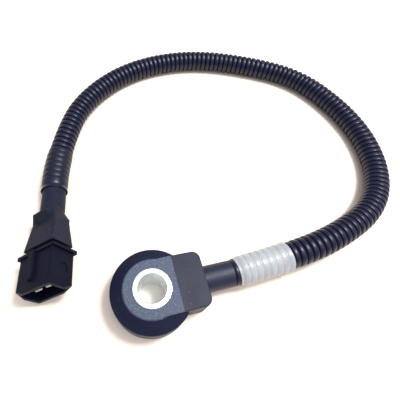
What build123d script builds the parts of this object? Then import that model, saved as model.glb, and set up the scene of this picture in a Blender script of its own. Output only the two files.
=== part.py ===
from build123d import *
import math
import os

os.makedirs("parts", exist_ok=True)

# Knock sensor with a moulded lead and a two-pin plug, in millimetres.
# Origin: the bolt hole's axis on the mounting face. +Z runs up the bolt, +X along the lead-out.

# Driving dimensions: metal bush that the bolt clamps
bolt_hole_diameter = 8.4
bush_diameter = 12.0
bush_height = 12.0
flange_margin = 0.5
flange_thickness = 1.6
bore_chamfer = 0.35
bush_edge_round = 0.3
flange_edge_chamfer = 0.3

# Driving dimensions: sensing stack round the bush
sleeve_wall = 0.4
ring_clearance = 0.15
contact_ring_width = 3.45
contact_thickness = 0.3
insulator_margin = 0.5
insulator_thickness = 0.4
piezo_thickness = 2.6
mass_ring_width = 4.05
mass_height = 2.6
spring_ring_width = 2.15
spring_thickness = 0.5
spring_height = 0.8
nut_ring_width = 2.2
nut_height = 1.8
nut_slot_width = 2.0
nut_slot_depth = 1.2
nut_slot_count = 4

# Driving dimensions: overmoulded housing with its lead-out block
housing_wall = 1.9
bush_proud = 0.45
housing_underside = 0.5
top_ring_width = 2.6
cone_drop = 2.4
rim_round = 0.7
foot_chamfer = 0.5
block_end_drop = 0.75
block_underside = 0.9
crease_distance = 7.7
block_corner_round = 2.5
block_edge_round = 0.25

# Driving dimensions: contact tabs and leads inside the lead-out block
tab_width = 1.6
tab_spacing = 2.8
tab_clearance = 0.7
tab_length = 1.5
tab_lead_overlap = 1.0
lead_diameter = 1.2
lead_length = 2.3

# Driving dimensions: strain relief tube and cable
relief_diameter = 8.6
relief_depth = 2.9
relief_spigot_length = 3.0
cable_diameter = 5.2
cable_clearance = 0.05

# Driving dimensions: corrugated conduit and the sleeves shrunk over it
conduit_diameter = 8.7
conduit_bore = 6.2
sleeve_clearance = 0.05
clear_sleeve_wall = 0.55
clear_sleeve_start = 2.7
clear_sleeve_length = 19.2
clear_sleeve_slant = 10.0
black_sleeve_wall = 0.25
black_sleeve_gap = 2.6
black_sleeve_length = 15.5

# Driving dimensions: plug shell, with distances measured back from its mouth
plug_tilt = 8.3
plug_roll = 33.7
shell_width = 14.2
shell_depth = 9.0
shell_wall = 1.1
shell_length = 11.6
shell_edge_round = 0.7
cavity_depth = 9.0
mouth_bevel = 3.5
mouth_bevel_back = 1.5
flange_step_thickness = 0.9
flange_step_wide = 0.9
flange_step_deep = 0.6
flange_low_round = 1.8
spigot_width = 11.0
spigot_depth = 6.2
spigot_length = 5.0
spigot_edge_round = 1.2
rib_width = 2.6
rib_height = 1.1
rib_offset = -1.0
rib_front = 2.8
rib_chamfer = 0.35
mark_diameter = 3.6
mark_depth = 0.25
mark_distance = 5.9
mark_offset = 0.3

# Driving dimensions: blades and cores of the plug
blade_width = 2.8
blade_thickness = 0.8
blade_spacing = 4.6
blade_recess = 1.5
blade_tip_chamfer = 0.3
crimp_diameter = 2.0
crimp_length = 3.6
core_diameter = 1.2
core_spacing = 2.6
core_bend_radius = 2.4
core_lead_in = 0.8
crimp_floor = 0.6

# Driving dimensions: rubber boot behind the plug
boot_gap = 1.9
boot_front_width = 13.3
boot_front_depth = 8.7
boot_waist_width = 10.3
boot_waist_depth = 6.9
boot_waist_length = 10.3
boot_edge_round = 0.8
boot_shoulder_length = 3.6
ear_rise = 5.25
ear_foot_width = 9.7
ear_edge_width = 6.2
ear_edge_round = 0.8
ear_flare_start = -0.6
ear_edge_start = 1.6
ear_edge_end = 2.1
ear_end = 3.8
ear_end_rise = 2.6
grip_width = 5.8
grip_length = 5.4
grip_floor = 3.0
grip_end = 1.4
chamber_width = 8.6
chamber_depth = 4.4
cable_socket = 3.0
tail_diameter = 8.3
tail_length = 7.5
tail_reach = 4.6
tail_bend_radius = 55.0
tail_spigot_length = 2.2

# Route of the conduit's axis, from the strain relief tube to the boot's tail
conduit_route = [
    (26.5, 0.0, 6.0),
    (44.5, 0.0, 6.0),
    (66.0, 2.2, 5.8),
    (88.0, 10.6, 4.9),
    (100.8, 25.2, 4.4),
    (105.5, 45.4, 4.4),
    (102.3, 66.2, 4.4),
    (91.8, 85.9, 4.4),
    (72.3, 99.0, 4.4),
    (48.3, 108.2, 4.4),
    (24.3, 108.7, 4.4),
    (4.0, 101.0, 4.4),
    (-12.3, 86.8, 4.5),
    (-21.3, 69.5, 4.75),
    (-25.65, 55.93, 4.75),
    (-26.79, 45.79, 4.75),
]


def bend_radii(points):
    """Radius of the arc at each inner point: 0.45 of the shorter run over tan(half the turn)."""
    radii = []
    for before, corner, after in zip(points, points[1:], points[2:]):
        run_in = Vector(corner) - Vector(before)
        run_out = Vector(after) - Vector(corner)
        half_turn = math.radians(run_in.get_angle(run_out)) / 2
        radii.append(0.45 * min(run_in.length, run_out.length) / math.tan(half_turn))
    return radii


def stretch(wire, start, length):
    """The part of a wire that begins at a distance along it and has a length."""
    return wire.trim(start / wire.length, (start + length) / wire.length)


# Diameters of the sensing stack and the housing, from the bush outwards
sleeve_diameter = bush_diameter + 2 * sleeve_wall
ring_bore = sleeve_diameter + 2 * ring_clearance
mass_bore = bush_diameter + 2 * ring_clearance
contact_diameter = ring_bore + 2 * contact_ring_width
insulator_diameter = contact_diameter + 2 * insulator_margin
mass_diameter = mass_bore + 2 * mass_ring_width
spring_diameter = mass_bore + 2 * spring_ring_width
nut_diameter = bush_diameter + 2 * nut_ring_width
flange_diameter = insulator_diameter + 2 * flange_margin
housing_diameter = flange_diameter + 2 * housing_wall
top_diameter = bush_diameter + 2 * top_ring_width

# Heights of the sensing stack and the housing, from the flange upwards
ground_contact_base = flange_thickness + insulator_thickness
piezo_base = ground_contact_base + contact_thickness
signal_contact_base = piezo_base + piezo_thickness
tab_top = signal_contact_base + contact_thickness
mass_base = tab_top + insulator_thickness
spring_base = mass_base + mass_height
nut_base = spring_base + spring_height
nut_top = nut_base + nut_height
housing_height = bush_height - bush_proud
rim_height = housing_height - cone_drop

# Places along the lead-out, from the stack outwards
tab_riser = insulator_diameter / 2 + tab_clearance
tab_reach = tab_riser + tab_length
lead_start = tab_reach - tab_lead_overlap
relief_start = lead_start + lead_length
relief_end = conduit_route[0][0]
axis_height = conduit_route[0][2]
block_length = relief_start + relief_depth
lead_height = tab_top + lead_diameter / 2
relief_bore = cable_diameter + 2 * cable_clearance

# Mounting bush
with BuildPart() as mounting_bush:
    with BuildSketch(Plane.XZ):
        with BuildLine():
            Polyline(
                (bolt_hole_diameter / 2, 0),
                (flange_diameter / 2, 0),
                (flange_diameter / 2, flange_thickness),
                (bush_diameter / 2, flange_thickness),
                (bush_diameter / 2, bush_height),
                (bolt_hole_diameter / 2, bush_height),
                close=True,
            )
        make_face()
    revolve(axis=Axis.Z)
    bore_edges = mounting_bush.edges().filter_by(GeomType.CIRCLE).filter_by(
        lambda edge: math.isclose(edge.radius, bolt_hole_diameter / 2)
    )
    chamfer(bore_edges, bore_chamfer)
    foot_edge = mounting_bush.faces().sort_by(Axis.Z)[0].edges().sort_by(SortBy.RADIUS)[-1]
    chamfer(foot_edge, flange_edge_chamfer)
    top_edge = mounting_bush.faces().sort_by(Axis.Z)[-1].edges().sort_by(SortBy.RADIUS)[-1]
    fillet(top_edge, bush_edge_round)
mounting_bush.part.label = "mounting_bush"
export_step(mounting_bush.part, "parts/mounting_bush.step")

# Insulating sleeve round the bush, from the flange up to the seismic mass
with BuildPart() as insulating_sleeve:
    with BuildSketch(Plane.XY.offset(flange_thickness)):
        Circle(sleeve_diameter / 2)
        Circle(bush_diameter / 2, mode=Mode.SUBTRACT)
    extrude(amount=mass_base - flange_thickness)
insulating_sleeve.part.label = "insulating_sleeve"
export_step(insulating_sleeve.part, "parts/insulating_sleeve.step")

# Lower insulator
with BuildPart() as lower_insulator:
    with BuildSketch(Plane.XY.offset(flange_thickness)):
        Circle(insulator_diameter / 2)
        Circle(ring_bore / 2, mode=Mode.SUBTRACT)
    extrude(amount=insulator_thickness)
lower_insulator.part.label = "lower_insulator"
export_step(lower_insulator.part, "parts/lower_insulator.step")

# Ground contact disc: its tab is bent up to the height of the signal tab
with BuildPart() as ground_contact_disc:
    with BuildSketch(Plane.XY.offset(ground_contact_base)):
        Circle(contact_diameter / 2)
        Circle(ring_bore / 2, mode=Mode.SUBTRACT)
    extrude(amount=contact_thickness)
    with BuildSketch(Plane.XZ.offset(tab_spacing / 2)):
        with BuildLine():
            Polyline(
                (ring_bore / 2 + contact_thickness, ground_contact_base),
                (tab_riser, ground_contact_base),
                (tab_riser, signal_contact_base),
                (tab_reach, signal_contact_base),
                (tab_reach, tab_top),
                (tab_riser - contact_thickness, tab_top),
                (tab_riser - contact_thickness, piezo_base),
                (ring_bore / 2 + contact_thickness, piezo_base),
                close=True,
            )
        make_face()
    extrude(amount=tab_width / 2, both=True)
ground_contact_disc.part.label = "ground_contact_disc"
export_step(ground_contact_disc.part, "parts/ground_contact_disc.step")

# Piezo ring
with BuildPart() as piezo_ring:
    with BuildSketch(Plane.XY.offset(piezo_base)):
        Circle(contact_diameter / 2)
        Circle(ring_bore / 2, mode=Mode.SUBTRACT)
    extrude(amount=piezo_thickness)
piezo_ring.part.label = "piezo_ring"
export_step(piezo_ring.part, "parts/piezo_ring.step")

# Signal contact disc with its straight tab
with BuildPart() as signal_contact_disc:
    with BuildSketch(Plane.XY.offset(signal_contact_base)):
        Circle(contact_diameter / 2)
        with Locations((0, tab_spacing / 2)):
            Rectangle(tab_reach, tab_width, align=(Align.MIN, Align.CENTER))
        Circle(ring_bore / 2, mode=Mode.SUBTRACT)
    extrude(amount=contact_thickness)
signal_contact_disc.part.label = "signal_contact_disc"
export_step(signal_contact_disc.part, "parts/signal_contact_disc.step")

# Upper insulator
with BuildPart() as upper_insulator:
    with BuildSketch(Plane.XY.offset(tab_top)):
        Circle(insulator_diameter / 2)
        Circle(ring_bore / 2, mode=Mode.SUBTRACT)
    extrude(amount=insulator_thickness)
upper_insulator.part.label = "upper_insulator"
export_step(upper_insulator.part, "parts/upper_insulator.step")

# Seismic mass
with BuildPart() as seismic_mass:
    with BuildSketch(Plane.XY.offset(mass_base)):
        Circle(mass_diameter / 2)
        Circle(mass_bore / 2, mode=Mode.SUBTRACT)
    extrude(amount=mass_height)
seismic_mass.part.label = "seismic_mass"
export_step(seismic_mass.part, "parts/seismic_mass.step")

# Disc spring: a shallow cone that bears on the mass outside and on the nut inside
spring_rise = spring_height - spring_thickness
with BuildPart() as disc_spring:
    with BuildSketch(Plane.XZ):
        with BuildLine():
            Polyline(
                (spring_diameter / 2, spring_base),
                (spring_diameter / 2, spring_base + spring_thickness),
                (mass_bore / 2, spring_base + spring_height),
                (mass_bore / 2, spring_base + spring_rise),
                close=True,
            )
        make_face()
    revolve(axis=Axis.Z)
disc_spring.part.label = "disc_spring"
export_step(disc_spring.part, "parts/disc_spring.step")

# Clamp nut with spanner slots across its upper face
with BuildPart() as clamp_nut:
    with BuildSketch(Plane.XY.offset(nut_base)):
        Circle(nut_diameter / 2)
        Circle(bush_diameter / 2, mode=Mode.SUBTRACT)
    extrude(amount=nut_height)
    with BuildSketch(Plane.XY.offset(nut_top)):
        with PolarLocations(nut_diameter / 2, nut_slot_count, start_angle=45):
            Rectangle(2 * nut_slot_depth, nut_slot_width)
    extrude(amount=-nut_slot_depth, mode=Mode.SUBTRACT)
clamp_nut.part.label = "clamp_nut"
export_step(clamp_nut.part, "parts/clamp_nut.step")

# Leads from the contact tabs to the cable's cut end
with BuildPart() as signal_lead:
    with BuildSketch(Plane.YZ.offset(lead_start)):
        with Locations((tab_spacing / 2, lead_height)):
            Circle(lead_diameter / 2)
    extrude(amount=relief_start - lead_start)
signal_lead.part.label = "signal_lead"
export_step(signal_lead.part, "parts/signal_lead.step")

with BuildPart() as ground_lead:
    with BuildSketch(Plane.YZ.offset(lead_start)):
        with Locations((-tab_spacing / 2, lead_height)):
            Circle(lead_diameter / 2)
    extrude(amount=relief_start - lead_start)
ground_lead.part.label = "ground_lead"
export_step(ground_lead.part, "parts/ground_lead.step")

# Strain relief tube: held in the block, with a spigot that enters the conduit
with BuildPart() as strain_relief_tube:
    with BuildSketch(Plane.YZ.offset(relief_start)):
        with Locations((0, axis_height)):
            Circle(relief_diameter / 2)
    extrude(amount=relief_end - relief_start)
    with BuildSketch(Plane.YZ.offset(relief_end)):
        with Locations((0, axis_height)):
            Circle(conduit_bore / 2 - sleeve_clearance)
    extrude(amount=relief_spigot_length)
    with BuildSketch(Plane.YZ.offset(relief_start)):
        with Locations((0, axis_height)):
            Circle(relief_bore / 2)
    extrude(amount=relief_end + relief_spigot_length - relief_start, mode=Mode.SUBTRACT)
strain_relief_tube.part.label = "strain_relief_tube"
export_step(strain_relief_tube.part, "parts/strain_relief_tube.step")

# Sensor housing: a turned body with a conical shoulder and a block that carries the lead out.
# The plastic is moulded round the bush, the stack, the leads and the strain relief tube.
stack_layers = (
    (flange_diameter, 0, flange_thickness),
    (insulator_diameter, flange_thickness, insulator_thickness),
    (contact_diameter, ground_contact_base, contact_thickness),
    (contact_diameter, piezo_base, piezo_thickness),
    (contact_diameter, signal_contact_base, contact_thickness),
    (insulator_diameter, tab_top, insulator_thickness),
    (mass_diameter, mass_base, mass_height),
    (spring_diameter, spring_base, spring_height),
    (nut_diameter, nut_base, nut_height),
    (bush_diameter, nut_top, bush_height - nut_top),
)
with BuildPart() as sensor_housing:
    with BuildSketch(Plane.XZ):
        with BuildLine():
            Polyline(
                (0, block_underside),
                (block_length, block_underside),
                (block_length, housing_height - block_end_drop),
                (crease_distance, housing_height),
                (0, housing_height),
                close=True,
            )
        make_face()
    extrude(amount=top_diameter / 2, both=True)
    block_corners = sensor_housing.edges().filter_by(Axis.Z).group_by(Axis.X)[-1]
    fillet(block_corners, block_corner_round)
    block_tops = sensor_housing.faces().filter_by(lambda face: face.normal_at().Z > 0.5)
    across_top = block_tops.edges().filter_by(Axis.Y)
    block_end_edge = across_top.sort_by(Axis.X)[-1]
    block_rim = block_tops.edges().filter_by(lambda edge: edge not in across_top) + [block_end_edge]
    fillet(block_rim, block_edge_round)
    with BuildSketch(Plane.XZ):
        with BuildLine():
            Polyline(
                (0, housing_underside),
                (housing_diameter / 2 - foot_chamfer, housing_underside),
                (housing_diameter / 2, housing_underside + foot_chamfer),
                (housing_diameter / 2, rim_height),
                (top_diameter / 2, housing_height),
                (0, housing_height),
                close=True,
            )
        make_face()
        rim_corner = vertices().group_by(Axis.X)[-1].sort_by(Axis.Y)[-1]
        fillet(rim_corner, rim_round)
    revolve(axis=Axis.Z)
    with BuildSketch(Plane.XZ):
        with BuildLine():
            Polyline(
                (crease_distance, housing_height),
                (block_length, housing_height - block_end_drop),
                (block_length, housing_height),
                close=True,
            )
        make_face()
    extrude(amount=top_diameter / 2, both=True, mode=Mode.SUBTRACT)
    for diameter, base, height in stack_layers:
        with BuildSketch(Plane.XY.offset(base)):
            Circle(diameter / 2)
        extrude(amount=height, mode=Mode.SUBTRACT)
    add(ground_contact_disc.part, mode=Mode.SUBTRACT)
    add(signal_contact_disc.part, mode=Mode.SUBTRACT)
    add(signal_lead.part, mode=Mode.SUBTRACT)
    add(ground_lead.part, mode=Mode.SUBTRACT)
    with BuildSketch(Plane.YZ.offset(relief_start)):
        with Locations((0, axis_height)):
            Circle(relief_diameter / 2)
    extrude(amount=block_length - relief_start, mode=Mode.SUBTRACT)
sensor_housing.part.label = "sensor_housing"
export_step(sensor_housing.part, "parts/sensor_housing.step")

# Frame of the plug: its axis meets the tail's bend and falls towards the boot
conduit_end = Vector(conduit_route[-1])
heading = (Vector(conduit_route[-2]) - conduit_end).normalized()
tail_bend = conduit_end - heading * tail_reach
level = Vector(heading.Y, -heading.X, 0)
plug_back = heading * math.cos(math.radians(plug_tilt)) - Vector(0, 0, math.sin(math.radians(plug_tilt)))
flange_step_back = shell_length + flange_step_thickness
spigot_back = flange_step_back + spigot_length
boot_front = flange_step_back + boot_gap
boot_waist = boot_front + boot_waist_length
boot_shoulder = boot_waist + boot_shoulder_length
tail_bend_back = boot_shoulder + tail_length
cable_back = boot_shoulder - cable_socket
mouth_centre = tail_bend - plug_back * tail_bend_back
plug_width = level.rotate(Axis((0, 0, 0), plug_back), -plug_roll)
plug = Plane(origin=mouth_centre, x_dir=plug_width, z_dir=plug_back)


def behind_mouth(distance):
    """Plane across the plug, a distance behind its mouth."""
    return plug.offset(distance)


# Conduit: a plain tube of its outer and inner size along the whole route
conduit_radii = bend_radii(conduit_route)
print("conduit arc radii:", [round(radius, 1) for radius in conduit_radii])
with BuildPart() as conduit:
    with BuildLine():
        conduit_line = FilletPolyline(*conduit_route, radius=conduit_radii)
    with BuildSketch(Plane(origin=conduit_route[0], z_dir=conduit_line % 0)):
        Circle(conduit_diameter / 2)
        Circle(conduit_bore / 2, mode=Mode.SUBTRACT)
    sweep()
conduit.part.label = "conduit"
export_step(conduit.part, "parts/conduit.step")

# Clear sleeve over the start of the conduit, with its first edge cut on the slant
with BuildPart() as clear_shrink_sleeve:
    with BuildLine():
        clear_line = add(stretch(conduit_line.wire(), clear_sleeve_start, clear_sleeve_length))
    with BuildSketch(Plane(origin=clear_line.wire() @ 0, z_dir=clear_line.wire() % 0)):
        Circle(conduit_diameter / 2 + sleeve_clearance + clear_sleeve_wall)
        Circle(conduit_diameter / 2 + sleeve_clearance, mode=Mode.SUBTRACT)
    sweep()
    slant_rise = math.tan(math.radians(clear_sleeve_slant)) * (conduit_diameter / 2 + clear_sleeve_wall)
    slant_centre = Vector(relief_end + clear_sleeve_start + slant_rise, 0, axis_height)
    slant_normal = Vector(1, 0, 0).rotate(Axis.Z, clear_sleeve_slant)
    split(bisect_by=Plane(origin=slant_centre, z_dir=slant_normal), keep=Keep.TOP)
clear_shrink_sleeve.part.label = "clear_shrink_sleeve"
export_step(clear_shrink_sleeve.part, "parts/clear_shrink_sleeve.step")

# Black sleeve over the last ridges of the conduit
black_sleeve_from = conduit_line.wire().length - black_sleeve_gap - black_sleeve_length
with BuildPart() as black_shrink_sleeve:
    with BuildLine():
        black_line = add(stretch(conduit_line.wire(), black_sleeve_from, black_sleeve_length))
    with BuildSketch(Plane(origin=black_line.wire() @ 0, z_dir=black_line.wire() % 0)):
        Circle(conduit_diameter / 2 + sleeve_clearance + black_sleeve_wall)
        Circle(conduit_diameter / 2 + sleeve_clearance, mode=Mode.SUBTRACT)
    sweep()
black_shrink_sleeve.part.label = "black_shrink_sleeve"
export_step(black_shrink_sleeve.part, "parts/black_shrink_sleeve.step")

# Signal cable: from the leads, through the conduit, into the boot
cable_start = (relief_start, 0, axis_height)
cable_end = behind_mouth(cable_back).origin
cable_route = [cable_start, *conduit_route[1:-1], tail_bend, cable_end]
cable_radii = [*conduit_radii, tail_bend_radius]
with BuildPart() as signal_cable:
    with BuildLine():
        cable_line = FilletPolyline(*cable_route, radius=cable_radii)
    with BuildSketch(Plane(origin=cable_start, z_dir=cable_line % 0)):
        Circle(cable_diameter / 2)
    sweep()
signal_cable.part.label = "signal_cable"
export_step(signal_cable.part, "parts/signal_cable.step")

# Plug shell: flange, mouth with two bevelled corners, rib on its upper left face, spigot behind
with BuildPart() as connector_shell:
    with BuildSketch(plug):
        RectangleRounded(shell_width, shell_depth, shell_edge_round)
    extrude(amount=shell_length)
    with BuildSketch(plug):
        RectangleRounded(shell_width - 2 * shell_wall, shell_depth - 2 * shell_wall, shell_edge_round)
    extrude(amount=cavity_depth, mode=Mode.SUBTRACT)
    for side in (-1, 1):
        corner = (side * shell_width / 2, side * shell_depth / 2)
        along_width = Vector(corner[0] - side * mouth_bevel, corner[1], 0)
        along_depth = Vector(corner[0], corner[1] - side * mouth_bevel, 0)
        below_corner = Vector(corner[0], corner[1], mouth_bevel_back)
        slope = (along_depth - along_width).cross(below_corner - along_width).normalized()
        if slope.Z > 0:
            slope = -slope
        bevel_plane = Plane(
            origin=plug.from_local_coords(below_corner),
            z_dir=plug.from_local_coords(slope) - plug.origin,
        )
        split(bisect_by=bevel_plane, keep=Keep.BOTTOM)
    with BuildSketch(behind_mouth(shell_length)):
        Rectangle(shell_width + 2 * flange_step_wide, shell_depth + 2 * flange_step_deep)
        low_corner = vertices().sort_by_distance(Vector(-shell_width / 2, shell_depth / 2))[0]
        fillet(low_corner, flange_low_round)
        sharp_corners = vertices().group_by(Axis.X)[-1] + vertices().group_by(Axis.Y)[0].sort_by(Axis.X)[:1]
        fillet(sharp_corners, shell_edge_round)
    extrude(amount=flange_step_thickness)
    with BuildSketch(behind_mouth(flange_step_back)):
        RectangleRounded(spigot_width, spigot_depth, spigot_edge_round)
    extrude(amount=spigot_length)
    with BuildSketch(Plane(origin=plug.from_local_coords((rib_offset, -shell_depth / 2, 0)),
                           x_dir=plug.x_dir, z_dir=-plug.y_dir)):
        with Locations((0, rib_front + rib_width / 2)):
            Circle(rib_width / 2)
            Rectangle(rib_width, flange_step_back - rib_front - rib_width / 2, align=(Align.CENTER, Align.MIN))
    extrude(amount=rib_height)
    rib_face = connector_shell.faces().sort_by(Axis(mouth_centre, -plug.y_dir))[-1]
    rib_rim = rib_face.edges().sort_by(Axis(mouth_centre, plug_back))[:-1]
    chamfer(rib_rim, rib_chamfer)
    with BuildSketch(Plane(origin=plug.from_local_coords((shell_width / 2, mark_offset, mark_distance)),
                           x_dir=plug.y_dir, z_dir=plug.x_dir)):
        Circle(mark_diameter / 2)
    extrude(amount=-mark_depth, mode=Mode.SUBTRACT)
    for place in (-blade_spacing / 2, blade_spacing / 2):
        with BuildSketch(behind_mouth(cavity_depth)):
            with Locations((place, 0)):
                Rectangle(blade_width, blade_thickness)
        extrude(amount=spigot_back - cavity_depth, mode=Mode.SUBTRACT)
connector_shell.part.label = "connector_shell"
export_step(connector_shell.part, "parts/connector_shell.step")

# Blades with their crimped barrels, and the bared cores from the barrels to the cable's cut end
core_bend_back = spigot_back + crimp_length + core_lead_in
core_gather_back = cable_back - core_lead_in
for name, side in (("signal", 1), ("ground", -1)):
    blade_place = side * blade_spacing / 2
    core_place = side * core_spacing / 2
    with BuildPart() as blade:
        with BuildSketch(behind_mouth(blade_recess)):
            with Locations((blade_place, 0)):
                Rectangle(blade_width, blade_thickness)
        extrude(amount=spigot_back - blade_recess)
        tip = blade.faces().sort_by(Axis(mouth_centre, plug_back))[0]
        chamfer(tip.edges(), blade_tip_chamfer)
        with BuildSketch(behind_mouth(spigot_back)):
            with Locations((blade_place, 0)):
                Circle(crimp_diameter / 2)
        extrude(amount=crimp_length)
        with BuildSketch(behind_mouth(spigot_back + crimp_floor)):
            with Locations((blade_place, 0)):
                Circle(core_diameter / 2)
        extrude(amount=crimp_length - crimp_floor, mode=Mode.SUBTRACT)
    blade.part.label = f"{name}_blade"
    export_step(blade.part, f"parts/{name}_blade.step")

    core_points = [
        plug.from_local_coords((blade_place, 0, spigot_back + crimp_floor)),
        plug.from_local_coords((blade_place, 0, core_bend_back)),
        plug.from_local_coords((core_place, 0, core_gather_back)),
        plug.from_local_coords((core_place, 0, cable_back)),
    ]
    with BuildPart() as core:
        with BuildLine():
            core_line = FilletPolyline(*core_points, radius=core_bend_radius)
        with BuildSketch(Plane(origin=core_line @ 0, z_dir=core_line % 0)):
            Circle(core_diameter / 2)
        sweep()
    core.part.label = f"{name}_core"
    export_step(core.part, f"parts/{name}_core.step")

# Ears of the boot: its two wide faces flare out behind the waist and slope back to the tail
boot_side = Plane(origin=mouth_centre, x_dir=plug.y_dir, z_dir=plug.x_dir)
boot_top = Plane(origin=mouth_centre, x_dir=plug.x_dir, z_dir=-plug.y_dir)
with BuildPart() as boot_ears:
    with BuildSketch(boot_side):
        with BuildLine():
            Polyline(
                (0, boot_waist + ear_flare_start),
                (boot_waist_depth / 2, boot_waist + ear_flare_start),
                (ear_rise, boot_waist + ear_edge_start),
                (ear_rise, boot_waist + ear_edge_end),
                (ear_end_rise, boot_waist + ear_end),
                (0, boot_waist + ear_end),
                close=True,
            )
        make_face()
        mirror(about=Plane.YZ)
    extrude(amount=boot_waist_width / 2, both=True)
    with BuildSketch(boot_top):
        with BuildLine():
            Polyline(
                (0, boot_waist + ear_flare_start),
                (ear_foot_width / 2, boot_waist + ear_flare_start),
                (ear_edge_width / 2, boot_waist + ear_edge_start),
                (ear_edge_width / 2, boot_waist + ear_end),
                (0, boot_waist + ear_end),
                close=True,
            )
        make_face()
        ear_corner = vertices().sort_by_distance(Vector(ear_edge_width / 2, boot_waist + ear_edge_start))[0]
        fillet(ear_corner, ear_edge_round)
        mirror(about=Plane.YZ)
    extrude(amount=ear_rise, both=True, mode=Mode.INTERSECT)

# Connector boot: a hollow tapered grip, its ears and a tail that follows the cable's bend
tail_end = Plane(origin=conduit_end, z_dir=heading)
with BuildPart() as connector_boot:
    with BuildSketch(behind_mouth(boot_front)):
        RectangleRounded(boot_front_width, boot_front_depth, boot_edge_round)
    with BuildSketch(behind_mouth(boot_waist)):
        RectangleRounded(boot_waist_width, boot_waist_depth, boot_edge_round)
    loft()
    with BuildSketch(behind_mouth(boot_waist)):
        RectangleRounded(boot_waist_width, boot_waist_depth, boot_edge_round)
    with BuildSketch(behind_mouth(boot_shoulder)):
        Circle(tail_diameter / 2)
    loft()
    add(boot_ears.part)
    with BuildSketch(boot_side):
        with BuildLine():
            Polyline(
                (boot_front_depth / 2, boot_waist - grip_length),
                (grip_floor, boot_waist + ear_flare_start),
                (ear_rise, boot_waist + grip_end),
                (boot_front_depth, boot_waist + grip_end),
                (boot_front_depth, boot_waist - grip_length),
                close=True,
            )
        make_face()
        mirror(about=Plane.YZ)
    extrude(amount=grip_width / 2, both=True, mode=Mode.SUBTRACT)
    with BuildLine():
        tail_line = FilletPolyline(
            behind_mouth(boot_shoulder).origin, tail_bend, conduit_end, radius=tail_bend_radius
        )
    with BuildSketch(behind_mouth(boot_shoulder)):
        Circle(tail_diameter / 2)
    sweep(path=tail_line.wire())
    with BuildSketch(tail_end):
        Circle(conduit_bore / 2 - sleeve_clearance)
    extrude(amount=tail_spigot_length)
    with BuildSketch(behind_mouth(boot_front)):
        RectangleRounded(spigot_width, spigot_depth, spigot_edge_round)
    extrude(amount=spigot_back - boot_front, mode=Mode.SUBTRACT)
    with BuildSketch(behind_mouth(spigot_back)):
        RectangleRounded(chamber_width, chamber_depth, spigot_edge_round)
    extrude(amount=cable_back - spigot_back, mode=Mode.SUBTRACT)
    with BuildLine():
        bore_line = FilletPolyline(
            cable_end, tail_bend, conduit_end + heading * tail_spigot_length, radius=tail_bend_radius
        )
    with BuildSketch(behind_mouth(cable_back)):
        Circle(relief_bore / 2)
    sweep(path=bore_line.wire(), mode=Mode.SUBTRACT)
connector_boot.part.label = "connector_boot"
export_step(connector_boot.part, "parts/connector_boot.step")
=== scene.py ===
import math

import bpy
from mathutils import Euler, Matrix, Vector


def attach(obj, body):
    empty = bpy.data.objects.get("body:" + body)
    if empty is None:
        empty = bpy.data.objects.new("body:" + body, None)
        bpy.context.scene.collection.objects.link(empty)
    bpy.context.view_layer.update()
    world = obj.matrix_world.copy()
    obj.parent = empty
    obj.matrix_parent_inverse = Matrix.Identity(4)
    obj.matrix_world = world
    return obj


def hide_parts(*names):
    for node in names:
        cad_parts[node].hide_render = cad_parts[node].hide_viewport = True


bl_info = {
    "name": "Knock Sensor Finish",
    "version": (1, 0, 0),
    "blender": (4, 5, 0),
    "location": "3D View > Sidebar > Sensor",
    "description": "Dresses a knock sensor with its corrugated lead, finishes, light and camera",
    "category": "Object",
}

MM = 0.001
# The part has no joints, so every piece rides on one body
BODY = "root"

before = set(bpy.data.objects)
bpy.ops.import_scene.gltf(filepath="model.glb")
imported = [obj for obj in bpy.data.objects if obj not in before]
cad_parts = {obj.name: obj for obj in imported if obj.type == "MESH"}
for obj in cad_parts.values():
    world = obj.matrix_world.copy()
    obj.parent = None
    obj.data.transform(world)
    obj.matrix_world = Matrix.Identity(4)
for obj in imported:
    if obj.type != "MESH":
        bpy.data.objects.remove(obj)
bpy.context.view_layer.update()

# Route of the conduit's axis, from the strain relief tube to the boot's tail, in metres. Its points
# are the source's, moved a little to follow the picture
CONDUIT_ROUTE = (
    (0.0265, 0.0, 0.0060),
    (0.0445, 0.0006, 0.0064),
    (0.0655, 0.0030, 0.0074),
    (0.0878, 0.0108, 0.0062),
    (0.1009, 0.0253, 0.0048),
    (0.1061, 0.0454, 0.0044),
    (0.1028, 0.0664, 0.0044),
    (0.0924, 0.0866, 0.0044),
    (0.0724, 0.0989, 0.0044),
    (0.0481, 0.1079, 0.0044),
    (0.0245, 0.1081, 0.0044),
    (0.0041, 0.1010, 0.0044),
    (-0.0130, 0.0862, 0.0045),
    (-0.0211, 0.0686, 0.00475),
    (-0.0262, 0.0513, 0.00475),
    (-0.02706, 0.0434, 0.00475),
)
# The cable inside it starts in the block and ends in the boot
CABLE_START = (0.0140, 0.0, 0.0060)
TAIL_BEND = (-0.027304, 0.041219, 0.00475)
CABLE_END = (-0.028465, 0.030894, 0.006266)

# Where each ridge of the conduit is sampled, as shares of the pitch
RIDGE_SAMPLES = (0.0, 0.07, 0.16, 0.28, 0.42, 0.58, 0.72, 0.84, 0.93)
# Mesh attribute of the conduit: how far a point stands out of the groove, from 0 to 1
# It also marks the grooves, whose colour is darkened with painted shade
RIDGE_MARK = "ridge"
# Distances along the conduit where its swell begins, is fullest and has ended
SWELL_START, SWELL_PEAK, SWELL_END = 15 * MM, 25 * MM, 80 * MM
# Before the conduit's last end, in lengths of the cuff: where the ridges begin to turn into it,
# over how long a stretch they do, and from where the surface counts as crest alone
CUFF_BLEND_START, CUFF_BLEND_REACH, CUFF_CREST_START = 1.4, 0.4, 1.2
# How much smaller the cuff's radius is halfway along it
CUFF_WAIST = 0.28 * MM

# Rows of points on a sleeve for each ridge under it
SLEEVE_SAMPLES = 8
# How far the sleeves are drawn into the grooves, as a share of their depth
CLEAR_DRAPE, BLACK_DRAPE = 0.38, 0.35
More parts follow.
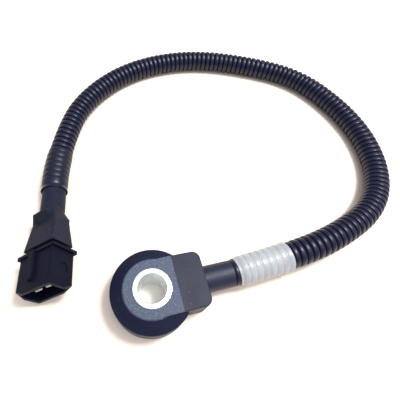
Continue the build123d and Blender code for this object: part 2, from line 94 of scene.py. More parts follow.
# Gap between the ridges' crests and a sleeve
SLEEVE_GAP = 0.06 * MM
# A sleeve's first edge has this share of its wall, and the whole wall stands after this distance
EDGE_WALL, EDGE_TAPER = 0.35, 2.5 * MM
# The slant of a sleeve's first edge fades out over one part in this many of its length
SLANT_PARTS = 5

# The rim is paler partly from its grain and partly from painted sheen of the upward top face
# The housing's rim, in millimetres: it fades in over these heights and out at the lead-out block
RIM_HEIGHTS = (11.2, 11.5)
RIM_END = (7.9, 7.6)
# Patches of the rim's grain lean to violet
VIOLET_TINT = (1.15, 1.0, 1.04)
# Radius of the bush's bore, whose wall gets painted shade, the width of the edge where it fades
# in, and the pitch of the tool marks on turned metal, in millimetres
BUSH_BORE, BORE_EDGE, TOOL_MARK_PITCH = 4.3, 0.1, 0.12
# How much the place is stretched for the scratches on drawn metal, which run along Y
SCRATCH_STRETCH = (8.0, 0.8, 8.0)

# How dark the black sleeve is beside the conduit, and how light the strain relief tube is beside
# the housing
BLACK_SLEEVE_SHADE, RELIEF_TUBE_SHADE = 0.75, 1.2
# Colours that aren't among the settings
DUST = (0.45, 0.44, 0.42)
HOUSING_DUST = (0.42, 0.42, 0.42)
SLEEVE_STAIN = (0.36, 0.33, 0.31)
CABLE_JACKET = (0.03, 0.03, 0.033)
BLADE_METAL = (0.42, 0.45, 0.48)
INSULATION = (0.62, 0.52, 0.30)
CONTACT_METAL = (0.82, 0.70, 0.42)
PIEZO_CERAMIC = (0.70, 0.66, 0.55)
MASS_METAL = (0.74, 0.58, 0.30)
SPRING_STEEL = (0.30, 0.31, 0.34)
NUT_METAL = (0.72, 0.68, 0.56)
LEAD_METAL = (0.78, 0.76, 0.72)

# The lights stand round this point of the floor
FLOOR_MIDDLE = Vector((0.03, 0.04, 0.0))
# Half the floor's width, in metres
FLOOR_REACH = 3.0
# Distances over which the floor turns into its far colour, in millimetres
FLOOR_FADE = (220.0, 700.0)
FAR_FLOOR = (0.94, 0.94, 0.95)
FILL_COLOUR = (0.97, 0.98, 1.0)
KEY_COLOUR = (1.0, 0.99, 0.97)
SHEEN_COLOUR = (0.82, 0.90, 1.0)


class CameraSettings(bpy.types.PropertyGroup):
    """Where the picture is taken from."""

    place: bpy.props.FloatVectorProperty(
        name="Place", description="Camera position in the part's frame", size=3,
        subtype="TRANSLATION", unit="LENGTH", default=(-0.00601, -0.01941, 0.1026))
    turn: bpy.props.FloatVectorProperty(
        name="Turn", description="Camera rotation", size=3, subtype="EULER", unit="ROTATION",
        default=(math.radians(29.374), math.radians(-3.372), math.radians(-13.834)))
    lens: bpy.props.FloatProperty(
        name="Lens", description="Focal length on a 36 mm wide sensor, in millimetres",
        default=27.09)
    shift: bpy.props.FloatVectorProperty(
        name="Shift", description="Lens shift as a share of the sensor", size=2,
        default=(0.08425, -0.0065))


class ConduitSettings(bpy.types.PropertyGroup):
    """Corrugated conduit round the cable."""

    diameter: bpy.props.FloatProperty(
        name="Diameter", description="Outer diameter over the ridges", unit="LENGTH",
        default=8.7 * MM)
    pitch: bpy.props.FloatProperty(
        name="Ridge pitch",
        description="Distance from ridge to ridge, before it is fitted to a whole number of them",
        unit="LENGTH", default=2.3 * MM)
    groove: bpy.props.FloatProperty(
        name="Groove depth", description="Depth of the grooves", unit="LENGTH", default=0.85 * MM)
    crown: bpy.props.FloatProperty(
        name="Ridge crown", description="How broad the ridges are", default=4.2, min=1)
    wall: bpy.props.FloatProperty(
        name="Wall", description="Wall thickness at the cut ends", unit="LENGTH", default=0.9 * MM)
    swell: bpy.props.FloatProperty(
        name="Swell", description="Extra diameter just after the clear sleeve, which fades out",
        unit="LENGTH", default=0.8 * MM)
    cuff_length: bpy.props.FloatProperty(
        name="Cuff length", description="How far the flared end reaches over the boot's tail",
        unit="LENGTH", default=2.5 * MM)
    cuff_diameter: bpy.props.FloatProperty(
        name="Cuff diameter", description="Outer diameter of the flared end", unit="LENGTH",
        default=9.44 * MM)
    cuff_bore: bpy.props.FloatProperty(
        name="Cuff bore", description="Inner diameter of the flared end", unit="LENGTH",
        default=8.64 * MM)
    sides: bpy.props.IntProperty(
        name="Sides", description="Faces round the conduit", default=48, min=12)
    cable_diameter: bpy.props.FloatProperty(
        name="Cable diameter", description="Diameter of the cable inside", unit="LENGTH",
        default=5.2 * MM)


class SleeveSettings(bpy.types.PropertyGroup):
    """Sleeves shrunk over the conduit."""

    clear_start: bpy.props.FloatProperty(
        name="Clear sleeve start", description="Distance from the conduit's first end",
        unit="LENGTH", default=1.5 * MM)
    clear_length: bpy.props.FloatProperty(
        name="Clear sleeve length", description="Length of the clear sleeve", unit="LENGTH",
        default=18.8 * MM)
    clear_wall: bpy.props.FloatProperty(
        name="Clear sleeve wall", description="Wall of the clear sleeve", unit="LENGTH",
        default=0.6 * MM)
    clear_slant: bpy.props.FloatProperty(
        name="Clear sleeve slant", description="Slant of its first edge", unit="ROTATION",
        default=math.radians(-2))
    black_gap: bpy.props.FloatProperty(
        name="Black sleeve gap", description="Distance from the conduit's last end",
        unit="LENGTH", default=2.6 * MM)
    black_length: bpy.props.FloatProperty(
        name="Black sleeve length", description="Length of the black sleeve", unit="LENGTH",
        default=15.5 * MM)
    black_wall: bpy.props.FloatProperty(
        name="Black sleeve wall", description="Wall of the black sleeve", unit="LENGTH",
        default=0.35 * MM)


class FinishSettings(bpy.types.PropertyGroup):
    """Colours of the finishes."""

    housing: bpy.props.FloatVectorProperty(
        name="Housing", description="Overmoulded plastic", subtype="COLOR", size=3,
        default=(0.004, 0.006, 0.023))
    # Paler than the housing partly as a grained finish and partly as painted sheen on the top face
    rim_with_sheen: bpy.props.FloatVectorProperty(
        name="Top rim", description="Matt grained rim round the bush", subtype="COLOR", size=3,
        default=(0.068, 0.088, 0.130))
    conduit: bpy.props.FloatVectorProperty(
        name="Conduit", description="Corrugated conduit", subtype="COLOR", size=3,
        default=(0.003, 0.0045, 0.023))
    plug: bpy.props.FloatVectorProperty(
        name="Plug", description="Plug shell", subtype="COLOR", size=3,
        default=(0.005, 0.006, 0.0155))
    boot: bpy.props.FloatVectorProperty(
        name="Boot", description="Rubber boot", subtype="COLOR", size=3,
        default=(0.0135, 0.0145, 0.028))
    clear: bpy.props.FloatVectorProperty(
        name="Clear sleeve", description="Milky clear plastic", subtype="COLOR", size=3,
        default=(0.40, 0.415, 0.44))
    bush: bpy.props.FloatVectorProperty(
        name="Bush", description="Bright plated metal", subtype="COLOR", size=3,
        default=(0.88, 0.97, 1.0))


class LightSettings(bpy.types.PropertyGroup):
    """Soft studio light and the pale floor."""

    key_place: bpy.props.FloatVectorProperty(
        name="Key place", description="Where the key light stands, from the middle of the floor",
        size=3, subtype="TRANSLATION", unit="LENGTH", default=(0.17, 0.0, 0.46))
    key_size: bpy.props.FloatProperty(
        name="Key size", description="Width of the key light", unit="LENGTH", default=0.11)
    key_power: bpy.props.FloatProperty(
        name="Key power", description="Power of the key light", unit="POWER", default=2.3)
    sheen_place: bpy.props.FloatVectorProperty(
        name="Sheen place",
        description="Where the overhead light stands, from the middle of the floor",
        size=3, subtype="TRANSLATION", unit="LENGTH", default=(0.26, -0.06, 0.86))
    sheen_size: bpy.props.FloatProperty(
        name="Sheen size", description="Width of the overhead light", unit="LENGTH", default=1.10)
    sheen_power: bpy.props.FloatProperty(
        name="Sheen power", description="Power of the overhead light", unit="POWER", default=5.5)
    fill: bpy.props.FloatProperty(
        name="Fill", description="Strength of the even surrounding light", default=0.62)
    floor: bpy.props.FloatVectorProperty(
        name="Floor", description="Colour of the floor", subtype="COLOR", size=3,
        default=(0.95, 0.81, 0.70))


class Value:
    """A shader socket on which Python's arithmetic adds Math nodes."""

    def __init__(self, finish, socket):
        self.finish = finish
        self.socket = socket

    def _math(self, operation, first, second):
        return self.finish.add("ShaderNodeMath", {"operation": operation}, {0: first, 1: second})

    def __add__(self, other):
        return self._math("ADD", self, other)

    def __radd__(self, other):
        return self._math("ADD", other, self)

    def __sub__(self, other):
        return self._math("SUBTRACT", self, other)

    def __rsub__(self, other):
        return self._math("SUBTRACT", other, self)

    def __mul__(self, other):
        return self._math("MULTIPLY", self, other)

    def __rmul__(self, other):
        return self._math("MULTIPLY", other, self)

    def __pow__(self, other):
        return self._math("POWER", self, other)


class Finish:
    """One procedural material: its node tree and the inputs of its shader."""

    def __init__(self, name, constants):
        self.material = bpy.data.materials.new(name)
        self.material.use_nodes = True
        self.tree = self.material.node_tree
        self.shader = self.tree.nodes["Principled BSDF"]
        for socket, value in constants.items():
            self.shader.inputs[socket].default_value = value
        place = self.add("ShaderNodeTexCoord", output="Object")
        self.place = self.add("ShaderNodeVectorMath", {"operation": "SCALE"},
                              {0: place, "Scale": 1 / MM})

    def add(self, kind, settings=None, inputs=None, output=0):
        """Add a node: its settings first, then the values or links of its sockets."""
        node = self.tree.nodes.new(kind)
        for key, value in (settings or {}).items():
            setattr(node, key, value)
        for key, value in (inputs or {}).items():
            if isinstance(value, Value):
                self.tree.links.new(value.socket, node.inputs[key])
            else:
                node.inputs[key].default_value = value
        return Value(self, node.outputs[output])

    def parts(self):
        """The place in millimetres as its three numbers: along, across and up."""
        split = self.add("ShaderNodeSeparateXYZ", None, {"Vector": self.place})
        return [Value(self, output) for output in split.socket.node.outputs]

    def noise(self, scale, detail, place=None):
        """Noise with about this many lumps in a millimetre."""
        return self.add("ShaderNodeTexNoise", None,
                        {"Vector": place or self.place, "Scale": scale, "Detail": detail}, "Fac")

    def ramp(self, value, low, high):
        """How far a value is from low to high, from 0 to 1."""
        return self.add("ShaderNodeMapRange", {"interpolation_type": "SMOOTHSTEP"},
                        {"Value": value, "From Min": low, "From Max": high})

    def spots(self, scale, detail, low, high):
        """Spots where noise is above low, whole where it is above high."""
        return self.ramp(self.noise(scale, detail), low, high)

    def mix(self, share, first, second):
        """Mix two colours."""
        return self.add("ShaderNodeMix", {"data_type": "RGBA"},
                        {"Factor": share, "A": first, "B": second}, "Result")

    def feed(self, socket, value):
        """Link a value to a socket of the shader."""
        self.tree.links.new(value.socket, self.shader.inputs[socket])

    def bump(self, height, depth):
        """Bump of a height from 0 to 1, over a depth in millimetres."""
        normal = self.add("ShaderNodeBump", None, {"Height": height, "Distance": depth * MM})
        self.feed("Normal", normal)


def rgba(colour, share=1.0):
    """A colour with alpha, made lighter or darker by a share."""
    return (*(channel * share for channel in colour[:3]), 1.0)


def swing(noise, width):
    """Noise as a change up or down round its middle, over this width in all."""
    return (noise - 0.5) * width


def distance_from_bolt(along, across):
    """Distance from the bolt's axis."""
    return (along * along + across * across) ** 0.5


def plastic_colour(finish, colour, cloud, scuffs, pale):
    """A plastic's colour, uneven in soft clouds and paler by a share where it is scuffed."""
    clouded = finish.mix(cloud, rgba(colour, 0.85), rgba(colour, 1.2))
    return finish.mix(scuffs, clouded, rgba(colour, pale))


def plastic_roughness(roughness, cloud, grain):
    """A plastic's roughness, uneven in soft clouds and in its grain."""
    return roughness + swing(cloud, 0.12) + swing(grain, 0.08)


def moulding(finish, colour, roughness, grain_scale):
    """What moulded plastic shows: its worn colour, uneven roughness, grain and dust specks."""
    cloud = finish.noise(scale=0.16, detail=3.0)
    grain = finish.noise(grain_scale, detail=3.0)
    specks = finish.spots(scale=2.2, detail=1.0, low=0.71, high=0.76)
    scuffs = finish.spots(scale=0.55, detail=5.0, low=0.60, high=0.80)
    worn = plastic_colour(finish, colour, cloud, scuffs * 0.35, pale=2.2)
    uneven = plastic_roughness(roughness, cloud, grain) - scuffs * 0.03
    return worn, uneven, grain, specks


def moulded_plastic(name, colour, roughness, grain_scale=3.6, grain_depth=0.012, dust=0.05,
                    gloss=0.32):
    """Moulded plastic: fine grain, uneven sheen, faint dust specks and paler scuffs. The scale of
    its grain is in lumps to the millimetre, and its depth in millimetres."""
    finish = Finish(name, {"Specular IOR Level": gloss})
    worn, uneven, grain, specks = moulding(finish, colour, roughness, grain_scale)
    finish.feed("Base Color", finish.mix(specks * dust, worn, rgba(DUST)))
    finish.feed("Roughness", uneven)
    finish.bump(grain, grain_depth)
    return finish.material


def ridged_plastic(name, colour):
    """The conduit's plastic: moulded, shiny on the ridges, dull in the grooves, and darkened in
    them with painted shade.
    """
    finish = Finish(name, {"Specular IOR Level": 0.14, "Coat Roughness": 0.30})
    ridge = finish.add("ShaderNodeAttribute", {"attribute_name": RIDGE_MARK}, output="Fac")
    crest = finish.ramp(ridge, low=0.55, high=1.0)
    worn, uneven, grain, specks = moulding(finish, colour, roughness=0.42, grain_scale=2.8)
    # Painted shade: the grooves' colour is darkened to six tenths of the plastic's
    painted_groove_shade = finish.mix(crest, rgba(colour, 0.6), worn)
    finish.feed("Base Color", finish.mix(specks * crest * 0.05, painted_groove_shade, rgba(DUST)))
    finish.feed("Roughness", uneven)
    finish.feed("Coat Weight", crest * 0.42)
    finish.bump(grain, depth=0.01)
    return finish.material


def housing_plastic(name, colour, rim_with_sheen_colour):
    """The housing's plastic, with a matt, grained rim on the flat top round the bush, whose paler
    colour is partly painted sheen.
    """
    finish = Finish(name, {"Specular IOR Level": 0.20})
    along, _, up = finish.parts()
    rim_with_sheen = finish.ramp(up, *RIM_HEIGHTS) * finish.ramp(along, *RIM_END)
    cloud = finish.noise(scale=0.16, detail=3.0)
    fine = finish.noise(scale=4.0, detail=3.0)
    speckle = finish.spots(scale=1.9, detail=3.0, low=0.36, high=0.66)
    mottle = finish.spots(scale=0.7, detail=3.0, low=0.40, high=0.62)
    specks = finish.spots(scale=1.9, detail=1.0, low=0.74, high=0.78)
    scuffs = finish.spots(scale=0.45, detail=6.0, low=0.56, high=0.78)
    worn = plastic_colour(finish, colour, cloud, scuffs * 0.5, pale=2.4)
    violet = [channel * tint for channel, tint in zip(rim_with_sheen_colour, VIOLET_TINT)]
    dark_grain = finish.mix(mottle, rgba(rim_with_sheen_colour, 0.76), rgba(violet, 0.80))
    light_grain = finish.mix(mottle, rgba(rim_with_sheen_colour, 1.28), rgba(violet, 1.22))
    grained = finish.mix(speckle, dark_grain, light_grain)
    # Painted sheen: the rim's paler, speckled colour stands partly for light off the upward face
    base = finish.mix(rim_with_sheen, worn, grained)
    finish.feed("Base Color", finish.mix(specks * 0.16, base, rgba(HOUSING_DUST)))
    finish.feed("Roughness", plastic_roughness(0.48 + rim_with_sheen * 0.1, cloud, fine))
    finish.bump(fine * 0.35 + speckle * rim_with_sheen * 0.65, depth=0.05)
    return finish.material


def turned_metal(name, colour, roughness, bore=0.0):
    """Turned or plated metal: fine circular tool marks about the bolt's axis, with soft patches,
    and darkened with painted shade inside a bore of a radius in millimetres."""
    finish = Finish(name, {"Metallic": 1.0})
    along, across, up = finish.parts()
    radius = distance_from_bolt(along, across)
    tool_marks = finish.add("ShaderNodeMath", {"operation": "SINE"},
                            {0: (radius + up) * (math.tau / TOOL_MARK_PITCH)})
    patches = finish.noise(scale=0.5, detail=3.0)
    fine = finish.noise(scale=5.0, detail=2.0)
    bright = finish.mix(patches, rgba(colour, 0.93), rgba(colour))
    # Painted shade: the colour is darker inside the bore
    painted_bore_shade = finish.ramp(radius, bore + BORE_EDGE, bore)
    finish.feed("Base Color", finish.mix(painted_bore_shade, bright, rgba(colour, 0.92)))
    finish.feed("Roughness", roughness + swing(patches, 0.15) + swing(fine, 0.08))
    finish.bump(tool_marks * 0.35 + fine, depth=0.004)
    return finish.material


def plain_metal(name, colour, roughness):
    """Stamped or drawn metal with faint scratches."""
    finish = Finish(name, {"Metallic": 1.0})
    patches = finish.noise(scale=0.6, detail=3.0)
    stretched = finish.add("ShaderNodeVectorMath", {"operation": "MULTIPLY"},
                           {0: finish.place, 1: SCRATCH_STRETCH})
    scratches = finish.noise(scale=1.2, detail=2.0, place=stretched)
    finish.feed("Base Color", finish.mix(patches, rgba(colour, 0.85), rgba(colour)))
    finish.feed("Roughness", roughness + swing(scratches, 0.2))
    finish.bump(scratches, depth=0.004)
    return finish.material


def milky_sleeve(name, colour):
    """Clear shrink sleeve: milky film, glossy, with shrink ripples and faint stains, which lets a
    little of what lies under it through."""
    finish = Finish(name, {"Specular IOR Level": 0.5, "IOR": 1.48, "Coat Weight": 0.15,
                           "Coat Roughness": 0.15})
    cloud = finish.noise(scale=0.35, detail=3.0)
    ripples = finish.noise(scale=1.4, detail=3.0)
    stain = finish.spots(scale=0.5, detail=4.0, low=0.5, high=0.7)
    film = finish.mix(cloud, rgba(colour, 0.82), rgba(colour, 1.16))
    finish.feed("Base Color", finish.mix(stain * 0.35, film, rgba(SLEEVE_STAIN)))
    finish.feed("Roughness", 0.32 + swing(ripples, 0.2))
    finish.feed("Alpha", 0.86 + swing(cloud, 0.08))
    finish.bump(ripples, depth=0.03)
    return finish.material


def ceramic(name, colour):
    """Fired ceramic with a fine grain."""
    finish = Finish(name, {"Specular IOR Level": 0.4})
    grain = finish.noise(scale=6.0, detail=3.0)
    finish.feed("Base Color", finish.mix(grain, rgba(colour, 0.9), rgba(colour, 1.05)))
    finish.feed("Roughness", 0.55 + swing(grain, 0.2))
    finish.bump(grain, depth=0.006)
    return finish.material


def new_object(name, data):
    """An object with this data, in the scene."""
    made = bpy.data.objects.new(name, data)
    bpy.context.scene.collection.objects.link(made)
    return made


def route_curve(name, route):
    """A smooth open spline with the route's points as its control points."""
    curve = bpy.data.curves.new(name, "CURVE")
    curve.dimensions = "3D"
    curve.resolution_u = 24
    spline = curve.splines.new("NURBS")
    spline.points.add(len(route) - 1)
    for point, place in zip(spline.points, route):
        point.co = (*place, 1.0)
    spline.order_u = 3
    spline.use_endpoint_u = True
    return curve


def curve_line(name, route):
    """The points of the route's smooth line, from one end to the other."""
    guide = new_object(name, route_curve(name, route))
    line = bpy.data.meshes.new_from_object(guide)
    points = [vertex.co.copy() for vertex in line.vertices]
    bpy.data.objects.remove(guide)
    bpy.data.meshes.remove(line)
    return points


class Line:
    """A smooth line that can be asked for its place and direction at a distance along it."""

    def __init__(self, points):
        self.points = points
        self.marks = [0.0]
        for first, second in zip(points, points[1:]):
            self.marks.append(self.marks[-1] + (second - first).length)
        self.length = self.marks[-1]

    def at(self, distance):
        """Place at a distance along the line."""
        distance = min(max(distance, 0.0), self.length)
        step = 1
        while step < len(self.marks) - 1 and self.marks[step] < distance:
            step += 1
        before, after = self.marks[step - 1], self.marks[step]
        share = (distance - before) / (after - before)
        return self.points[step - 1].lerp(self.points[step], share)

    def frame(self, distance):
        """Place, direction, side and up at a distance along the line."""
        near = 0.0006
        ahead = self.at(distance + near)
        behind = self.at(distance - near)
        direction = (ahead - behind).normalized()
        side = Vector((0, 0, 1)).cross(direction).normalized()
        return self.at(distance), direction, side, direction.cross(side).normalized()


def ring(line, distance, radius, sides, slant=0.0):
    """Points of one ring round the line, leant over by a slant."""
    place, direction, side, up = line.frame(distance)
    points = []
    for step in range(sides):
        turn = math.tau * step / sides
        outward = side * math.cos(turn) + up * math.sin(turn)
        lean = math.tan(slant) * math.cos(turn) * radius
        points.append(place + outward * radius + direction * lean)
    return points


def skin(name, rings):
    """A smooth mesh through a row of rings, whose last one meets the first."""
    sides = len(rings[0])
    vertices = [point for loop in rings for point in loop]
    faces = []
    for row in range(len(rings)):
        first = row * sides
        second = ((row + 1) % len(rings)) * sides
        for step in range(sides):
            ahead = (step + 1) % sides
            faces.append((first + step, first + ahead, second + ahead, second + step))
    mesh = bpy.data.meshes.new(name)
    mesh.from_pydata(vertices, [], faces)
    mesh.polygons.foreach_set("use_smooth", [True] * len(mesh.polygons))
    mesh.update()
    return new_object(name, mesh)


def dress(piece, material, slot, *nodes):
    """Give a piece its material, and let it ride on the body in place of its nodes. Its slot is
    not used.
    """
    piece.data.materials.clear()
    piece.data.materials.append(material)
    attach(piece, BODY)
    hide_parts(*nodes)


def finish_nodes(material, *nodes):
    """Give the modelled parts a finish."""
    for node in nodes:
        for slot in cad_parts[node].material_slots:
            slot.material = material


def conduit_line():
    """The line that the conduit and its sleeves follow."""
    return Line(curve_line("conduit_guide", CONDUIT_ROUTE))


def smooth_share(value, low, high):
    """How far a value is from low to high, from 0 to 1 with soft ends."""
    share = min(max((value - low) / (high - low), 0.0), 1.0)
    return share * share * (3 - 2 * share)


def ridge_height(distance, settings):
    """How high the conduit's surface stands at a distance along it, 0 in the grooves and 1 on the
    crests."""
    share = (distance / settings.pitch) % 1.0
    return 1.0 - abs(2.0 * share - 1.0) ** settings.crown


def crest_radius(distance, settings):
    """Radius over the ridges, a little more after the clear sleeve."""
    rise = smooth_share(distance, SWELL_START, SWELL_PEAK)
    fall = smooth_share(distance, SWELL_PEAK, SWELL_END)
    return (settings.diameter + settings.swell * (rise - fall)) / 2


def conduit_radius(distance, settings):
    """Radius of the conduit's ridged surface at a distance along it."""
    depth = settings.groove * (1 - ridge_height(distance, settings))
    return crest_radius(distance, settings) - depth


class SENSOR_OT_camera(bpy.types.Operator):
    """Place the camera at the picture's viewpoint."""

    bl_idname = "sensor.camera"
    bl_label = "Camera"

    def execute(self, context):
        settings = context.scene.sensor_camera
        data = bpy.data.cameras.new("camera")
        data.sensor_width = 36.0
        data.lens = settings.lens
        data.shift_x, data.shift_y = settings.shift
        data.clip_start = 0.005
        camera = new_object("camera", data)
        camera.location = settings.place
        camera.rotation_euler = Euler(settings.turn)
        context.scene.camera = camera
        return {"FINISHED"}


class SENSOR_OT_conduit(bpy.types.Operator):
    """Lay the corrugated conduit along its route, with the cable inside it."""

    bl_idname = "sensor.conduit"
    bl_label = "Conduit and cable"

    def execute(self, context):
        settings = context.scene.sensor_conduit
        self.lay_conduit(settings, context.scene.sensor_finish.conduit)
        self.lay_cable(settings)
        return {"FINISHED"}

    def lay_conduit(self, settings, colour):
        """The ridged tube, with a whole number of ridges and an open bore."""
        line = conduit_line()
        ridges = round(line.length / settings.pitch)
        settings.pitch = line.length / ridges
        stations = [(ridge + share) * settings.pitch
                    for ridge in range(ridges) for share in RIDGE_SAMPLES]
        stations.append(line.length)
        outer = [ring(line, place, self.outer_radius(place, line.length, settings),
                      settings.sides) for place in stations]
        bore = settings.diameter / 2 - settings.groove - settings.wall
        cuff_start = line.length - settings.cuff_length
        bore_steps = [(line.length, settings.cuff_bore / 2), (cuff_start, settings.cuff_bore / 2)]
        bore_steps += [(place, bore) for place in reversed(stations[::len(RIDGE_SAMPLES)])
                       if place < cuff_start]
        inner = [ring(line, place, radius, settings.sides) for place, radius in bore_steps]
        piece = skin("conduit_ridges", outer + inner)
        heights = [self.ridge_mark(place, line.length, settings) for place in stations]
        heights += [0.0] * len(inner)
        marks = piece.data.attributes.new(RIDGE_MARK, "FLOAT", "POINT")
        marks.data.foreach_set("value", [height for height in heights
                                         for _ in range(settings.sides)])
        dress(piece, ridged_plastic("conduit_plastic", colour), "conduit_plastic", "conduit")

    def lay_cable(self, settings):
        """The jacketed cable, which runs on into the block and the boot."""
        route = (CABLE_START, *CONDUIT_ROUTE[1:-1], TAIL_BEND, CABLE_END)
        curve = route_curve("cable", route)
        curve.bevel_depth = settings.cable_diameter / 2
        curve.bevel_resolution = 6
        curve.use_fill_caps = True
        cable = new_object("cable", curve)
        jacket = moulded_plastic("cable_jacket", CABLE_JACKET, roughness=0.45)
        dress(cable, jacket, "cable_jacket", "signal_cable")
        Line(curve_line("cable_guide", route)).length

    def ridge_mark(self, place, length, settings):
        """How far the surface stands out of the groove, 1 on the crests and on the cuff."""
        if place > length - CUFF_CREST_START * settings.cuff_length:
            return 1.0
        return ridge_height(place, settings)

    def outer_radius(self, place, length, settings):
        """Radius of the ridges, which widen into a smooth cuff at the plug's end."""
        blend_start = length - CUFF_BLEND_START * settings.cuff_length
        cuff_share = (place - blend_start) / (CUFF_BLEND_REACH * settings.cuff_length)
        cuff_share = min(max(cuff_share, 0.0), 1.0)
        lip = min((length - place) / settings.cuff_length, 1.0)
        cuff = settings.cuff_diameter / 2 - CUFF_WAIST * math.sin(math.pi * lip) ** 2
        return conduit_radius(place, settings) * (1 - cuff_share) + cuff * cuff_share


class SENSOR_OT_sleeves(bpy.types.Operator):
    """Shrink the clear and the black sleeve over the conduit."""

    bl_idname = "sensor.sleeves"
    bl_label = "Sleeves"

    def execute(self, context):
        conduit = context.scene.sensor_conduit
        sleeves = context.scene.sensor_sleeves
        colours = context.scene.sensor_finish
        line = conduit_line()
        clear = self.sleeve("clear_sleeve", line, conduit, sleeves.clear_start,
                            sleeves.clear_length, sleeves.clear_wall, CLEAR_DRAPE,
                            sleeves.clear_slant)
        milky = milky_sleeve("clear_sleeve_plastic", colours.clear)
        dress(clear, milky, "clear_sleeve_plastic", "clear_shrink_sleeve")
        black_start = line.length - sleeves.black_gap - sleeves.black_length
        black = self.sleeve("black_sleeve", line, conduit, black_start,
                            sleeves.black_length, sleeves.black_wall, BLACK_DRAPE)
        film = moulded_plastic("black_sleeve_plastic", rgba(colours.conduit, BLACK_SLEEVE_SHADE),
                               roughness=0.42, dust=0.03)
        dress(black, film, "black_sleeve_plastic", "black_shrink_sleeve")
        return {"FINISHED"}

    def sleeve(self, name, line, conduit, start, length, wall, drape, slant=0.0):
        """A film drawn in a little over each groove, with a cut edge at both ends."""
        steps = int(length / (conduit.pitch / SLEEVE_SAMPLES))
        outer = []
        inner = []
        for step in range(steps + 1):
            share = step / steps
            place = start + share * length
            crest = crest_radius(place, conduit)
            sag = (crest - conduit_radius(place, conduit)) * drape
            lean = slant * (1 - min(share * SLANT_PARTS, 1.0))
            taper = min(share * length / EDGE_TAPER, 1.0)
            film = wall * (EDGE_WALL + (1 - EDGE_WALL) * taper)
            outer.append(ring(line, place, crest + film - sag, conduit.sides, lean))
            inner.append(ring(line, place, crest + SLEEVE_GAP - sag, conduit.sides, lean))
        return skin(name, outer + inner[::-1])


class SENSOR_OT_head(bpy.types.Operator):
    """Finish the housing, the bush and the strain relief tube."""

    bl_idname = "sensor.head"
    bl_label = "Head"

    def execute(self, context):
        colours = context.scene.sensor_finish
        housing = housing_plastic("housing_plastic", colours.housing, colours.rim_with_sheen)
        finish_nodes(housing, "sensor_housing")
        bush = turned_metal("bush_metal", colours.bush, roughness=0.30, bore=BUSH_BORE)
        finish_nodes(bush, "mounting_bush")
        tube = moulded_plastic("relief_tube_plastic", rgba(colours.housing, RELIEF_TUBE_SHADE),
                               roughness=0.50, grain_scale=2.0, grain_depth=0.035, dust=0.03,
                               gloss=0.42)
        finish_nodes(tube, "strain_relief_tube")
        return {"FINISHED"}


class SENSOR_OT_plug(bpy.types.Operator):
    """Finish the boot, the shell and the blades."""

    bl_idname = "sensor.plug"
    bl_label = "Plug"

    def execute(self, context):
        colours = context.scene.sensor_finish
        boot = moulded_plastic("boot_rubber", colours.boot, roughness=0.55, grain_scale=3.2,
                               grain_depth=0.03, dust=0.14, gloss=0.08)
        finish_nodes(boot, "connector_boot")
        shell = moulded_plastic("shell_plastic", colours.plug, roughness=0.45, grain_scale=3.2,
                                grain_depth=0.015, dust=0.04, gloss=0.05)
        finish_nodes(shell, "connector_shell")
        blade = plain_metal("blade_metal", BLADE_METAL, roughness=0.32)
        finish_nodes(blade, "signal_blade", "ground_blade")
        return {"FINISHED"}


class SENSOR_OT_stack(bpy.types.Operator):
    """Finish the parts of the sensing stack, the leads and the cores."""

    bl_idname = "sensor.stack"
    bl_label = "Sensing stack"

    def execute(self, context):
        film = moulded_plastic("insulation", INSULATION, roughness=0.4, dust=0.0)
        finish_nodes(film, "insulating_sleeve", "lower_insulator", "upper_insulator")
        contact = plain_metal("contact_metal", CONTACT_METAL, roughness=0.3)
        finish_nodes(contact, "ground_contact_disc", "signal_contact_disc")
        finish_nodes(ceramic("piezo_ceramic", PIEZO_CERAMIC), "piezo_ring")
        mass = turned_metal("mass_metal", MASS_METAL, roughness=0.35)
        finish_nodes(mass, "seismic_mass")
        spring = turned_metal("spring_steel", SPRING_STEEL, roughness=0.35)
        finish_nodes(spring, "disc_spring")
        nut = turned_metal("nut_metal", NUT_METAL, roughness=0.4)
        finish_nodes(nut, "clamp_nut")
        lead = plain_metal("lead_metal", LEAD_METAL, roughness=0.35)
        finish_nodes(lead, "signal_lead", "ground_lead", "signal_core", "ground_core")
        return {"FINISHED"}


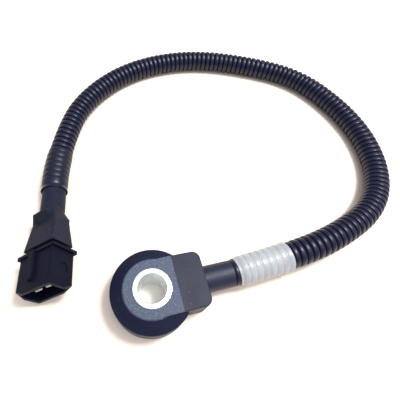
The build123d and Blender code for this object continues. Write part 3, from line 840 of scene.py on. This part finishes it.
class SENSOR_OT_stage(bpy.types.Operator):
    """Set the pale floor and the soft light."""

    bl_idname = "sensor.stage"
    bl_label = "Floor and light"

    def execute(self, context):
        settings = context.scene.sensor_light
        mesh = bpy.data.meshes.new("floor")
        corners = [(side * FLOOR_REACH, end * FLOOR_REACH, 0)
                   for side, end in ((-1, -1), (1, -1), (1, 1), (-1, 1))]
        mesh.from_pydata(corners, [], [(0, 1, 2, 3)])
        mesh.materials.append(self.paper(settings.floor))
        new_object("floor", mesh)

        world = bpy.data.worlds.new("studio")
        context.scene.world = world
        world.use_nodes = True
        surroundings = world.node_tree.nodes["Background"].inputs
        surroundings["Color"].default_value = rgba(FILL_COLOUR)
        surroundings["Strength"].default_value = settings.fill

        self.softbox("key", settings.key_power, settings.key_size, settings.key_place, KEY_COLOUR)
        self.softbox("sheen", settings.sheen_power, settings.sheen_size, settings.sheen_place,
                     SHEEN_COLOUR)
        context.scene.view_settings.view_transform = "Standard"
        return {"FINISHED"}

    def paper(self, colour):
        """Matt paper, faintly clouded, whose tint fades away from the object."""
        paper = Finish("floor_paper", {"Specular IOR Level": 0.2, "Roughness": 0.6})
        cloud = paper.noise(scale=0.02, detail=2.0)
        along, across, _ = paper.parts()
        far = paper.ramp(distance_from_bolt(along, across), *FLOOR_FADE)
        near_paper = paper.mix(cloud, rgba(colour), rgba(colour, 1.01))
        paper.feed("Base Color", paper.mix(far, near_paper, rgba(FAR_FLOOR)))
        return paper.material

    def softbox(self, name, power, size, place, colour):
        """A square soft light that points at the middle of the floor."""
        data = bpy.data.lights.new(name, "AREA")
        data.shape = "SQUARE"
        data.size = size
        data.energy = power
        data.color = colour
        lamp = new_object(name, data)
        lamp.location = FLOOR_MIDDLE + Vector(place)
        lamp.rotation_euler = (-Vector(place)).to_track_quat("-Z", "Y").to_euler()


class SENSOR_PT_panel(bpy.types.Panel):
    """Lists the steps that dress the sensor."""

    bl_label = "Knock sensor"
    bl_space_type = "VIEW_3D"
    bl_region_type = "UI"
    bl_category = "Sensor"

    def draw(self, context):
        for step in STEPS:
            self.layout.operator(step.bl_idname)


STEPS = (
    SENSOR_OT_camera,
    SENSOR_OT_conduit,
    SENSOR_OT_sleeves,
    SENSOR_OT_head,
    SENSOR_OT_plug,
    SENSOR_OT_stack,
    SENSOR_OT_stage,
)
SETTINGS = {
    "sensor_camera": CameraSettings,
    "sensor_conduit": ConduitSettings,
    "sensor_sleeves": SleeveSettings,
    "sensor_finish": FinishSettings,
    "sensor_light": LightSettings,
}


def register():
    for name, group in SETTINGS.items():
        bpy.utils.register_class(group)
        setattr(bpy.types.Scene, name, bpy.props.PointerProperty(type=group))
    for step in STEPS:
        bpy.utils.register_class(step)
    bpy.utils.register_class(SENSOR_PT_panel)


def unregister():
    bpy.utils.unregister_class(SENSOR_PT_panel)
    for step in reversed(STEPS):
        bpy.utils.unregister_class(step)
    for name, group in SETTINGS.items():
        delattr(bpy.types.Scene, name)
        bpy.utils.unregister_class(group)


def main():
    register()
    bpy.ops.sensor.camera()
    bpy.ops.sensor.conduit()
    bpy.ops.sensor.sleeves()
    bpy.ops.sensor.head()
    bpy.ops.sensor.plug()
    bpy.ops.sensor.stack()
    bpy.ops.sensor.stage()


if __name__ == "__main__":
    main()
